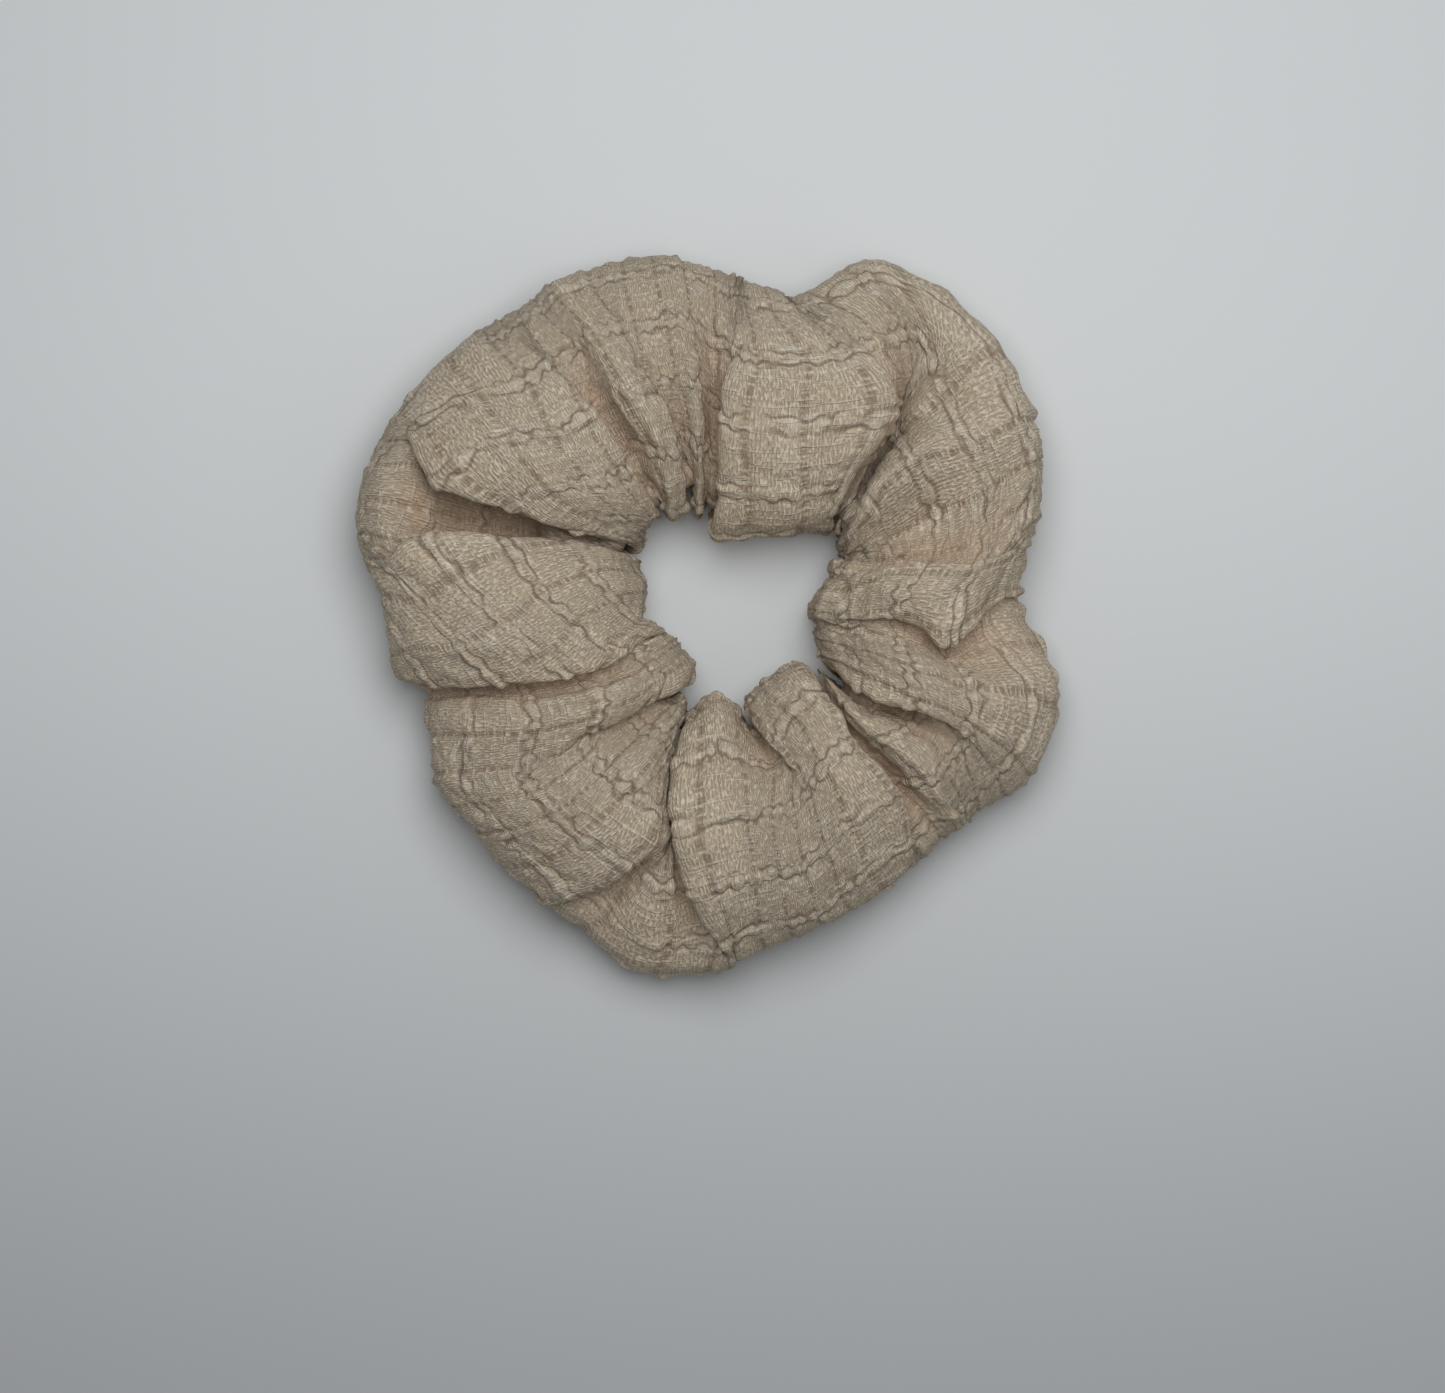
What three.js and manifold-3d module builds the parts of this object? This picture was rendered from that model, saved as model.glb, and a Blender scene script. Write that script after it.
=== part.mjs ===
// A gathered fabric scrunchie, lying flat on its underside.
//
// One cloth tube is gathered on a ring of flat elastic. The gathers divide the tube into puffs,
// each a solid here with a channel through it for the elastic. The puffs to the left and to the
// right of the two deepest gathers belong to two halves, which draw apart when the band stretches.
//
// Millimetres. +Z is up and z = 0 is the table. The origin is under the middle of the whole part.

import * as THREE from "three";
import { mergeVertices } from "three/addons/utils/BufferGeometryUtils.js";
import Module from "manifold-3d";

const wasm = await Module();
wasm.setup();

// ---------------------------------------------------------------- driving dimensions

const HOLE_CENTRE = new THREE.Vector2(5.6, -0.1); // the hair hole, from the part's middle
const GATHER_GAP = 0.4; // between two puffs at a gather
const CLOSING_GAP = 1.6; // at the gather that holds the closing seam
const PUFF_STEP_DEG = 5; // between the sections of a puff
const SECTION_POINTS = 24; // round the outline of a section
const SECTION_POWER = 2.5; // 2 is an ellipse, more is squarer
const BELLY = 0.42; // height of a section's widest place, as a share of its height
const FLATTENED = 1.3; // how far the underside would reach below the table if it weren't flat

const BAND_RADIUS = 24.5; // middle of the elastic, at rest
const BAND_HEIGHT = 12; // of its middle above the table
const BAND_WIDTH = 6;
const BAND_THICKNESS = 1.1;
const BAND_LAP_DEG = 26; // where its two ends lie over each other
const BAND_LAP_AT_DEG = 172; // the middle of that lap
const BAND_LAP_GAP = 0.3;

const CHANNEL_IN = 2.6; // inside and outside the band's radius
const CHANNEL_OUT = 4.2;
const CHANNEL_HALF_HEIGHT = 4.3;

const THREAD = 0.35; // radius of a sewn thread
const LONG_SEAM_RADIUS = 27.4;
const LONG_SEAM_HEIGHT = 9;
const TOP_SPLIT_DEG = 108; // where the long seam crosses the two gathers between the halves
const BOTTOM_SPLIT_DEG = 244;
const SEAM_END_GAP_DEG = 2.5; // from a thread's end to the gather between the halves
const CLOSING_INSET = 0.2; // of the closing seam's outline, as a share of its gather's outline

const LINEN = new THREE.Color(0.62, 0.56, 0.47);
const ELASTIC_WHITE = new THREE.Color(0.86, 0.85, 0.82);
const THREAD_COLOUR = new THREE.Color(0.7, 0.64, 0.54);

// The gathers, anticlockwise from the one at the top. Each is a straight line across the tube,
// from an angle and radius on the hole's edge to an angle and radius on the outer edge.
const GATHERS = [
  { inner: [111.6, 15.5], outer: [95.7, 56], height: 23, gap: CLOSING_GAP },
  { inner: [130, 17.5], outer: [116, 61], height: 23 },
  { inner: [151, 17.5], outer: [163, 65.5], height: 21 },
  { inner: [206, 17], outer: [192, 55.5], height: 21 },
  { inner: [228, 17], outer: [247, 57], height: 20 },
  { inner: [238, 18], outer: [266, 57], height: 20 },
  { inner: [314.6, 14.5], outer: [311.5, 48], height: 21 },
  { inner: [323, 16.5], outer: [317, 46], height: 18 },
  { inner: [355, 12.5], outer: [361, 44.5], height: 20 },
  { inner: [386.5, 16], outer: [374, 48.5], height: 20 },
  { inner: [404.6, 19], outer: [438, 53.5], height: 22 },
  { inner: [471.6, 15.5], outer: [455.7, 56], height: 23, gap: CLOSING_GAP },
];

// The puff after each gather: its height, and how far it swells past its two gathers.
const PUFFS = [
  { name: "cover_puff_top_left", height: 27, swell: 3, hole: 0 },
  { name: "cover_puff_upper_left", height: 28, swell: 3.6, hole: 0 },
  { name: "cover_puff_left", height: 26, swell: 1.5, hole: -1 },
  { name: "cover_puff_lower_left", height: 27, swell: 2.3, hole: 0 },
  { name: "cover_puff_bottom_left", height: 24, swell: 3.4, hole: 0 },
  { name: "cover_puff_bottom", height: 28, swell: 2.2, hole: -1 },
  { name: "cover_puff_bottom_right", height: 23, swell: 0.5, hole: 0 },
  { name: "cover_puff_lower_right", height: 28, swell: 9.5, hole: -2 },
  { name: "cover_puff_right", height: 26, swell: 0.5, hole: -1 },
  { name: "cover_puff_upper_right", height: 27, swell: 9.5, hole: 0 },
  { name: "cover_puff_top", height: 28, swell: -1, hole: -5 },
];

// ---------------------------------------------------------------- geometry helpers

function polar(angleDeg, radius) {
  const angle = THREE.MathUtils.degToRad(angleDeg);
  return new THREE.Vector2(Math.cos(angle), Math.sin(angle)).multiplyScalar(radius);
}

// A closed mesh through a row of sections, each a ring of the same number of points.
function loft(sections, joined = false) {
  const size = sections[0].length;
  const positions = sections.flat().flatMap((point) => point.toArray());
  const triangles = [];
  const last = joined ? sections.length : sections.length - 1;
  for (let row = 0; row < last; row++) {
    const here = row * size;
    const next = ((row + 1) % sections.length) * size;
    for (let i = 0; i < size; i++) {
      const j = (i + 1) % size;
      triangles.push(here + i, here + j, next + j, here + i, next + j, next + i);
    }
  }
  if (!joined) {
    const end = (sections.length - 1) * size;
    for (let i = 1; i < size - 1; i++) {
      triangles.push(0, i + 1, i);
      triangles.push(end, end + i, end + i + 1);
    }
  }
  const geometry = new THREE.BufferGeometry();
  geometry.setAttribute("position", new THREE.Float32BufferAttribute(positions, 3));
  geometry.setIndex(triangles);
  return geometry;
}

function toSolid(geometry) {
  const bare = geometry.clone();
  bare.deleteAttribute("normal");
  bare.deleteAttribute("uv");
  const merged = mergeVertices(bare, 1e-4);
  const vertProperties = merged.attributes.position.array;
  const triVerts = new Uint32Array(merged.index.array);
  return new wasm.Manifold(new wasm.Mesh({ numProp: 3, vertProperties, triVerts }));
}

function toGeometry(solid) {
  const mesh = solid.getMesh();
  const geometry = new THREE.BufferGeometry();
  geometry.setAttribute("position", new THREE.BufferAttribute(mesh.vertProperties, 3));
  geometry.setIndex(new THREE.BufferAttribute(mesh.triVerts, 1));
  geometry.computeVertexNormals();
  return geometry;
}

function named(name, geometry, color, roughness) {
  const mesh = new THREE.Mesh(geometry, new THREE.MeshStandardMaterial({ color, roughness }));
  mesh.name = name;
  return mesh;
}

// A thread of round section along a curve, closed on itself or with two ends.
function threadAlong(curve, steps, joined) {
  const sides = 6;
  const frames = curve.computeFrenetFrames(steps, joined);
  const sections = [];
  for (let step = 0; step < (joined ? steps : steps + 1); step++) {
    const centre = curve.getPointAt(step / steps);
    const ring = [];
    for (let side = 0; side < sides; side++) {
      const turn = (2 * Math.PI * side) / sides;
      const point = centre.clone();
      point.addScaledVector(frames.normals[step], THREAD * Math.cos(turn));
      point.addScaledVector(frames.binormals[step], THREAD * Math.sin(turn));
      ring.push(point);
    }
    sections.push(ring);
  }
  return loft(sections, joined);
}

// ---------------------------------------------------------------- the gathered cover

// The outline of the tube where it is cut by the upright plane through two points of its plan:
// rounded on top, and flat underneath where it lies on the table.
function outline(inner, outer, height) {
  const points = [];
  for (let i = 0; i < SECTION_POINTS; i++) {
    const turn = (-2 * Math.PI * i) / SECTION_POINTS;
    const across = roundedSquare(Math.cos(turn));
    const rise = roundedSquare(Math.sin(turn));
    const plan = inner.clone().lerp(outer, 0.5 + 0.5 * across);
    const belly = BELLY * height;
    const z = rise > 0 ? belly + rise * (height - belly) : belly * (1 + rise * FLATTENED);
    points.push(new THREE.Vector3(plan.x, plan.y, Math.max(z, 0)));
  }
  return points;
}

function roundedSquare(value) {
  return Math.sign(value) * Math.abs(value) ** (2 / SECTION_POWER);
}

// Where a gather's line across the tube runs, moved sideways by half of its gap.
function gatherLine(gather, side) {
  const inner = polar(...gather.inner);
  const outer = polar(...gather.outer);
  const along = outer.clone().sub(inner).normalize();
  const shift = new THREE.Vector2(-along.y, along.x);
  shift.multiplyScalar((side * (gather.gap ?? GATHER_GAP)) / 2);
  return [inner.add(shift), outer.add(shift)];
}

function puffSections(before, after, puff) {
  const start = gatherLine(before, 1);
  const end = gatherLine(after, -1);
  const sweep = Math.max(after.inner[0] - before.inner[0], after.outer[0] - before.outer[0]);
  const steps = Math.max(4, Math.round(sweep / PUFF_STEP_DEG));
  const sections = [outline(...start, before.height)];
  for (let step = 1; step < steps; step++) {
    const share = step / steps;
    const bulge = Math.sin(Math.PI * share) ** 0.75;
    const inner = between(start[0], end[0], share, puff.hole * bulge);
    const outer = between(start[1], end[1], share, puff.swell * bulge);
    const flat = THREE.MathUtils.lerp(before.height, after.height, share);
    sections.push(outline(inner, outer, THREE.MathUtils.lerp(flat, puff.height, bulge)));
  }
  sections.push(outline(...end, after.height));
  return sections;
}

// A point between two others, going round the hole's centre, and moved outwards by swell.
function between(from, to, share, swell) {
  const fromAngle = from.angle();
  const turn = THREE.MathUtils.euclideanModulo(to.angle() - fromAngle + Math.PI, 2 * Math.PI) - Math.PI;
  const angle = THREE.MathUtils.radToDeg(fromAngle + share * turn);
  return polar(angle, THREE.MathUtils.lerp(from.length(), to.length(), share) + swell);
}

function elasticChannel() {
  const low = BAND_HEIGHT - CHANNEL_HALF_HEIGHT;
  const high = BAND_HEIGHT + CHANNEL_HALF_HEIGHT;
  const profile = [
    new THREE.Vector2(BAND_RADIUS - CHANNEL_IN, low),
    new THREE.Vector2(BAND_RADIUS + CHANNEL_OUT, low),
    new THREE.Vector2(BAND_RADIUS + CHANNEL_OUT, high),
    new THREE.Vector2(BAND_RADIUS - CHANNEL_IN, high),
    new THREE.Vector2(BAND_RADIUS - CHANNEL_IN, low),
  ];
  const ring = new THREE.LatheGeometry(profile, 360 / PUFF_STEP_DEG);
  return toSolid(ring.rotateX(Math.PI / 2));
}

function coverPuffs() {
  const channel = elasticChannel();
  return PUFFS.map((puff, i) => {
    const solid = toSolid(loft(puffSections(GATHERS[i], GATHERS[i + 1], puff)));
    return named(puff.name, toGeometry(solid.subtract(channel)), LINEN, 0.9);
  });
}

// ---------------------------------------------------------------- elastic and sewing

// A flat band on edge, one turn and a lap long, so that its ends lie side by side.
function elasticBand() {
  const sections = [];
  const steps = 84;
  const turn = 360 + BAND_LAP_DEG;
  for (let step = 0; step <= steps; step++) {
    const share = step / steps;
    const angle = BAND_LAP_AT_DEG - BAND_LAP_DEG / 2 + turn * share;
    const radius = BAND_RADIUS + (share - 0.5) * (turn / 360) * (BAND_THICKNESS + BAND_LAP_GAP);
    const near = polar(angle, radius - BAND_THICKNESS / 2);
    const far = polar(angle, radius + BAND_THICKNESS / 2);
    const low = BAND_HEIGHT - BAND_WIDTH / 2;
    const high = BAND_HEIGHT + BAND_WIDTH / 2;
    sections.push([
      new THREE.Vector3(near.x, near.y, high),
      new THREE.Vector3(far.x, far.y, high),
      new THREE.Vector3(far.x, far.y, low),
      new THREE.Vector3(near.x, near.y, low),
    ]);
  }
  return named("elastic_band", loft(sections), ELASTIC_WHITE, 0.8);
}

// Zigzag stitching wound round the two lapped ends of the band.
function lapStitches() {
  const turns = 5;
  const reach = BAND_THICKNESS + BAND_LAP_GAP / 2 + 0.3 + THREAD;
  const rise = BAND_WIDTH / 2 + 0.3 + THREAD;
  const step = (BAND_LAP_DEG * 0.6) / turns;
  const points = [];
  const corner = (turn, side, up) => {
    const plan = polar(BAND_LAP_AT_DEG + (turn - turns / 2) * step, BAND_RADIUS + side * reach);
    points.push(new THREE.Vector3(plan.x, plan.y, BAND_HEIGHT + up * rise));
  };
  for (let turn = 0; turn < turns; turn++) {
    corner(turn, 1, -1);
    corner(turn + 0.2, 1, 1);
    corner(turn + 0.3, -1, 1);
    corner(turn + 0.5, -1, -1);
  }
  const path = new THREE.CatmullRomCurve3(points, false, "catmullrom", 0.1);
  return named("elastic_lap_stitches", threadAlong(path, 90, false), THREAD_COLOUR, 0.7);
}

// The thread of the long seam, beside the elastic, from just past one split to just before another.
function longSeam(name, splitDeg, nextSplitDeg) {
  const knots = 16;
  const points = [];
  for (let i = 0; i <= knots; i++) {
    const from = splitDeg + SEAM_END_GAP_DEG;
    const angle = THREE.MathUtils.lerp(from, nextSplitDeg - SEAM_END_GAP_DEG, i / knots);
    const plan = polar(angle, LONG_SEAM_RADIUS);
    points.push(new THREE.Vector3(plan.x, plan.y, LONG_SEAM_HEIGHT));
  }
  const path = new THREE.CatmullRomCurve3(points);
  return named(name, threadAlong(path, 40, false), THREAD_COLOUR, 0.7);
}

// The seam that closes the tube's two ends on each other, in the gather at the top.
function closingSeam() {
  const gather = GATHERS[0];
  const inner = polar(...gather.inner);
  const outer = polar(...gather.outer);
  const ring = outline(
    inner.clone().lerp(outer, CLOSING_INSET / 2),
    outer.clone().lerp(inner, CLOSING_INSET / 2),
    gather.height * (1 - CLOSING_INSET),
  );
  ring.forEach((point) => (point.z += (gather.height * CLOSING_INSET) / 2));
  const path = new THREE.CatmullRomCurve3(ring, true);
  return named("closing_seam_thread", threadAlong(path, 72, true), THREAD_COLOUR, 0.7);
}

// ---------------------------------------------------------------- assembly

const scrunchie = new THREE.Group();
scrunchie.position.set(HOLE_CENTRE.x, HOLE_CENTRE.y, 0);
scrunchie.add(...coverPuffs());
scrunchie.add(elasticBand(), lapStitches());
scrunchie.add(longSeam("long_seam_thread_left", TOP_SPLIT_DEG, BOTTOM_SPLIT_DEG));
scrunchie.add(longSeam("long_seam_thread_right", BOTTOM_SPLIT_DEG, TOP_SPLIT_DEG + 360));
scrunchie.add(closingSeam());

export default scrunchie;
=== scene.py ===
"""A relaxed scrunchie on a pale table: one gathered tube of seersucker gauze round a ring of elastic.

The cover is built as real cloth is: a strip measured along its length (s) and round the tube (t), folded
over itself at every gather, settled by a short cloth simulation, and then puckered with the weave's cords.
It is a grid with its columns along the strip and its rows round the tube, from the long seam back to it.
Lengths are in millimetres and places are measured from the middle of the hair hole, unless a name or a
comment says otherwise.
"""

import math

import bpy
import numpy as np
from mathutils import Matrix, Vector


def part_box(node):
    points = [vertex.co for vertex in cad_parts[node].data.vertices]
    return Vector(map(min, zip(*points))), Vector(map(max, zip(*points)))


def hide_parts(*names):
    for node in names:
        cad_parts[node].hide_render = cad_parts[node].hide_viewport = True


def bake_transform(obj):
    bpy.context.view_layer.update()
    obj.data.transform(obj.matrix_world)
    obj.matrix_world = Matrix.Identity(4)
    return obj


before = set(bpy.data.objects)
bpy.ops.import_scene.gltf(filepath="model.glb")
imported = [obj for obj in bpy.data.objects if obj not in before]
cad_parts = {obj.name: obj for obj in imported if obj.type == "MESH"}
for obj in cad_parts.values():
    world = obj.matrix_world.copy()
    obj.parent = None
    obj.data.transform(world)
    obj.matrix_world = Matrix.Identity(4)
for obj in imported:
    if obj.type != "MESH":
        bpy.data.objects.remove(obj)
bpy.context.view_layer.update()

MM = 0.001
BAND_THICKNESS = 1.0
BAND_INSET = 1.25  # of the elastic's middle line from its box: half its thickness and half the lap's step
ELASTIC_ROOM = 0.9  # between the elastic and the cloth
LIFT_SHARE = 0.88  # of the way over the elastic that cloth is lifted at once
TABLE_GAP = 0.05  # between the table and the cloth
band_low, band_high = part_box("elastic_band")
HOLE = np.array((band_low + band_high) / 2) / MM
HOLE[2] = 0.0
BAND_HEIGHT = (band_low.z + band_high.z) / 2 / MM  # of its middle line above the table
BAND_WIDTH = (band_high.z - band_low.z) / MM
BAND_RADIUS = (band_high.x - band_low.x) / 2 / MM - BAND_INSET

# ---------- the gathered shape


def rib(*plan, **facts):
    return dict(facts, plan=plan)


# Ribs run across the tube, from the hole's edge to the outer edge, anticlockwise from the top gather.
# The points are the rib from above. top: heights of the cloth, evenly from the hole outwards.
# slide: how far the weave is turned round the tube. A gather also has:
# side: which cloth lies on top, 1 for the cloth before it and -1 for the cloth after it
# close: how far the fold is closed, from 0 to 1, evenly from the hole outwards
# deep: how deep the cloth under it lies
# relax: over how much cloth it comes back up, where that isn't FOLD_RELAX
# pocket: the cloth beyond the fold stays deep
POCKET_CLOSE = 0.7, 0.8, 1, 1, 1, 1, 1, 1, 0.8, 0.1, 0
RIBS = [
    rib((-5, 12.4), (-4.7, 26), (-4.4, 39), (-3.4, 56), top=(22, 26, 24),
        side=1, close=(1, 1, 0.95, 0.65, 0.25, 0), deep=8.5),
    rib((-6.9, 15), (-7.2, 24), (-7.3, 33), (-9.5, 45), (-12, 58.4), top=(20, 22, 25)),
    rib((-8.9, 16.6), (-9.8, 25), (-11.5, 33), (-16.5, 42), (-21.5, 57.6),
        top=(20, 25, 25), side=-1, close=(1, 0.9, 0.4, 0.15, 0), deep=5),
    rib((-11.6, 15.6), (-13.2, 26), (-17.2, 35), (-22.5, 43), (-31, 54.6), top=(22, 27, 25)),
    rib((-13.2, 15.2), (-17.6, 22), (-23, 31), (-28.5, 41), (-37, 50.2),
        top=(21, 26, 25), side=-1, close=(1, 1, 0.8, 0.3, 0), deep=6.5),
    rib((-14.7, 14), (-26, 25), (-37, 36), (-45.2, 44.7), top=(23, 28, 26), slide=-2),
    rib((-16.2, 11.9), (-31, 20), (-45, 29.5), (-55.9, 34.1), top=(23, 28, 25), slide=-8),
    rib((-17.2, 9.9), (-27.4, 12.2), (-36.5, 15.4), (-44.6, 18), (-50, 20), (-56.3, 23.6),
        (-62.6, 23.6),
        top=(21, 25, 24), side=1, close=POCKET_CLOSE, deep=13, pocket=True, slide=-14),
    rib((-16.6, 8.8), (-22.3, 10), (-34.4, 11.6), (-47.3, 12.7), (-59.4, 13.4), (-64.2, 14),
        top=(21, 24, 23), side=-1, close=POCKET_CLOSE, deep=13, pocket=True, slide=-15),
    rib((-15.9, 3), (-30, 1.2), (-45, 0.5), (-59.5, 1), top=(23, 25, 22), slide=-9),
    rib((-15.4, -2), (-28, -6), (-43, -7.2), (-58, -8), top=(23, 25, 21), slide=-2),
    rib((-12.4, -4.6), (-21.5, -9.9), (-34, -12.6), (-46, -12.4), (-57, -12.2),
        top=(21, 23, 17), side=1, close=(0.1, 0.8, 1, 1, 0.8), deep=5.5, slide=2),
    rib((-9.4, -7.4), (-18.3, -13.6), (-33, -18.6), (-51.7, -20.2), top=(22, 25, 17)),
    rib((-8.6, -11.4), (-20, -18.2), (-33, -25.5), (-51, -28.5), top=(20, 23, 19),
        side=1, close=(1, 0.8, 0.15, 0, 0), deep=4),
    rib((-9.1, -14), (-19, -24), (-31, -34), (-43.7, -37.4), top=(21, 26, 22)),
    rib((-9.5, -15.6), (-15.2, -28), (-24, -40), (-35.6, -45.6), top=(21, 26, 22)),
    rib((-9.9, -16.4), (-12, -28), (-12.6, -37), (-20, -44.5), (-31, -51.6),
        top=(20, 24, 19), side=1, close=(0, 0, 0.7, 1, 0.3), deep=4, relax=5),
    rib((-10, -16.8), (-11.6, -28), (-12, -38), (-14.5, -48), (-16.3, -60),
        top=(19, 20, 17)),
    rib((-9.7, -16.8), (-11.2, -24), (-12, -35), (-9.6, -45), (-6.4, -53), (-5.4, -60.4),
        top=(21, 25, 20), side=-1, close=(1, 1, 1, 1, 0.1), deep=5, relax=4),
    rib((-5.6, -15.2), (-4.6, -24.6), (-2.4, -38.4), (0.2, -57.4), top=(23, 27, 22)),
    rib((0.4, -15.6), (3.4, -21.5), (6.6, -26), (9.4, -37), (13.5, -52.2),
        top=(20, 25, 22), side=-1, close=(1, 0.6, 0, 0, 0), deep=6),
    rib((4.6, -11.8), (10, -17.5), (18, -29), (26, -44), top=(22, 27, 21)),
    rib((9.1, -9.3), (15.7, -17.9), (20.7, -24), (25.7, -29.5), (33.4, -39),
        top=(22, 25, 20), side=1, close=(1, 1, 1, 0.9, 0.1), deep=7.5, relax=3.5),
    rib((11.8, -9.6), (19, -18.2), (26.8, -24.8), (36, -36.6), top=(21, 24, 19)),
    rib((14.1, -8.8), (17.4, -12.9), (20.7, -15.4), (25.7, -16.6), (31, -18.8), (39, -34),
        top=(22, 26, 18), side=-1, close=(1, 1, 1, 0.5, 0.1, 0), deep=8.5, relax=4.5),
    rib((12.8, -7.4), (24, -11.6), (37, -19), (47.5, -28.2), top=(23, 27, 20)),
    rib((11.6, -4.8), (24, -8), (37, -13), (52.6, -15), top=(23, 27, 21)),
    rib((10.9, -2.6), (24, -4.6), (36, -9.4), (51, -4.8), top=(23, 24, 19)),
    rib((10.7, -0.8), (16, -2.2), (24, -1.6), (29.5, -3.2), (33, -6.4), (37, -4.2),
        (42, 0.2), (47, 1.8), top=(22, 23, 21), side=-1, close=(0.1, 0.45, 0.9, 1, 0.4), deep=5),
    rib((11.6, 3), (22.4, 2.8), (34, 2.6), (41, 5), (47, 8.2), top=(22, 25, 24)),
    rib((13.3, 6.4), (26.5, 7.1), (37.5, 7.2), (43.5, 10), (48.4, 14),
        top=(21, 24, 25), side=1, close=(0.3, 0.9, 1, 0.6, 0), deep=5),
    rib((15.7, 8.6), (28, 13.5), (39, 18.5), (49.2, 24), top=(19, 15, 19, 26)),
    rib((16.6, 11), (22.4, 21.6), (30.5, 27.4), (39, 30.6), (46.7, 34.2), top=(20, 24, 22, 26)),
    rib((16.2, 12.4), (21, 23.6), (28.5, 33), (36, 40), (41.8, 43.7), top=(18, 12, 16, 27)),
    rib((15.8, 13), (20.2, 23.4), (27, 33.5), (32.5, 43), (31.8, 52.8), top=(18, 12, 18, 26)),
    rib((15.4, 13.3), (19.6, 23), (25.5, 32.5), (28, 43), (17, 57.6), top=(19, 18, 25)),
    rib((14.7, 13.6), (18, 21.6), (23, 28), (26, 36.5), (20, 46), (8.8, 52.6),
        top=(22, 25, 25), side=-1, close=(0.15, 0.7, 1, 0.5, 0.05, 0.1), deep=8, relax=6),
    rib((12.4, 13.2), (14.6, 26), (14.6, 39), (5.6, 52.2), top=(24, 28, 26)),
    rib((3.7, 11.6), (4.6, 26), (5, 39), (0.6, 54.2), top=(25, 28, 25)),
]

RIB_SAMPLES = 41  # along a rib
RING_SAMPLES = slice(RIB_SAMPLES // 5, None, 4)  # of those, where the way round the ring is measured
WRAP = 3  # how many ribs are repeated past either end of the table
AROUND_SAMPLES = 200  # round a section, before it is measured out evenly
SECTION_POWER = 2.5  # 2 is an ellipse, more is squarer
BELLY = 0.42  # height of a section's widest place, as a share of its height
FLATTENED = 1.3  # how far the underside would reach below the table if it weren't flat
THINNEST = 2.0  # the least height of a section's top above its widest place
SEAM_AT = 0.30  # where the long seam runs, as a share of the way across the underside
SEAM_FLAT = 0.55  # puts it on the flat of the underside
LIP_RADIUS = 1.15  # of the fold at a gather's lip
TUCK_RADIUS = 0.5  # of the hidden fold behind it
OVERLAP = 6.0  # how far the cloth goes back under a lip
FOLD_LEAD = 7.0  # flat cloth before a lip
FOLD_RELAX = 11.0  # cloth over which a gather comes back up to the puff
FOLD_SHARE = 0.42  # the most of the upper puff that its overlap or lead takes up
RELAX_SHARE = 0.5  # the most of the lower puff over which its cloth comes back up
FOLD_STEPS = 90  # samples of a gather's path
PUFF_STEPS = 10  # samples of the path between two gathers
OPEN_DIP = 0.03  # how much of a gather's depth is left where its fold is open
UNDERSIDE_DIP = 0.35  # how much of a gather's depth the underside has
INNER_INSET = 5.0  # the most a gather draws the cloth back from the hole, which keeps it off the elastic
OVER_BAND = 19.0  # the lowest the cloth comes over the elastic
BAND_SHARE = 0.3  # how far across the tube, from the hole, the elastic reaches
NO_BAND = 40  # as much depth as any gather needs, where there is no elastic
# the depth inside a fold where the cloth takes all of the hollows' painted shade, darker and pinker
HIDDEN_DEPTH = 5.0  # inside a fold, where the cloth has all the colour of the hollows
COLUMN_STEP = 0.56  # of the mesh, along the strip
ROWS = 210  # round the tube
ROW_EASE = 12.0  # over how much of the strip the rows even out
TOP_AT = 0.6  # of the way round the tube is its top
LEAN_REACH = 20.0  # how far either side of the top the cloth lies turned
LEAN_EASE = 8.0  # over how much of the strip it turns
ALLOWANCE = 6.0  # of cloth turned in at each side of the long seam
ALLOWANCE_LESS = 0.75  # the share of it that is missing inside the folds
ALLOWANCE_ROWS = 6
ALLOWANCES_APART, ALLOWANCES_SPREAD = 0.25, 0.9  # of each from the seam, at its foot and more at its edge
SEAM_GROOVE = 0.9  # how far the seam is drawn in
SEAM_GROOVE_WIDTH = 1.6
SEAM_CALM = 4.0  # how near the seam the crinkle starts to fade
RIPPLE = 1.1  # height of the wider ripples near the hole
RIPPLE_FROM, RIPPLE_REACH = 14, 14  # where they start to fade, and over how far
SIM_COLUMNS, SIM_ROWS = 4, 3  # columns and rows of the grid for each one simulated
SIM_SCALE = 10  # times life size, because Blender's cloth is made for clothes
SIM_FRAMES = 12
SIM_CAP = 2.5  # the furthest a place may move
SPARE_FROM, SPARE_REACH = 13, 18  # where the spare cloth starts to fade, and over how far
HELD, HELD_LESS = 0.55, 0.3  # how firmly the cloth is held to its folds, and how much less at the hole
HELD_ON_TABLE, ON_TABLE = 0.9, 4.0  # how firmly the cloth up to this height is held
SELF_GAP = 0.4  # kept between two layers
SIM_GRAVITY = 0.4  # as a share of real gravity
CLOTH_SETTINGS = dict(
    quality=6, mass=0.3, tension_stiffness=25, compression_stiffness=25, shear_stiffness=8,
    bending_stiffness=0.6, vertex_group_mass="held", pin_stiffness=0.9, vertex_group_shrink="spare",
    shrink_min=-0.01, shrink_max=-0.14,  # negative grows: the cloth at the hole by 14%
)


def smooth(x):
    x = np.clip(x, 0, 1)
    return x * x * (3 - 2 * x)


def lengths(vectors):
    return np.linalg.norm(vectors, axis=-1)


def unit(vectors):
    """These vectors (..., 3) at length 1."""
    return vectors / np.maximum(lengths(vectors), 1e-9)[..., None]


def walked_along(points):
    """The distance to each point of a polyline, along it."""
    return np.r_[0, np.cumsum(lengths(np.diff(points, axis=0)))]


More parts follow.
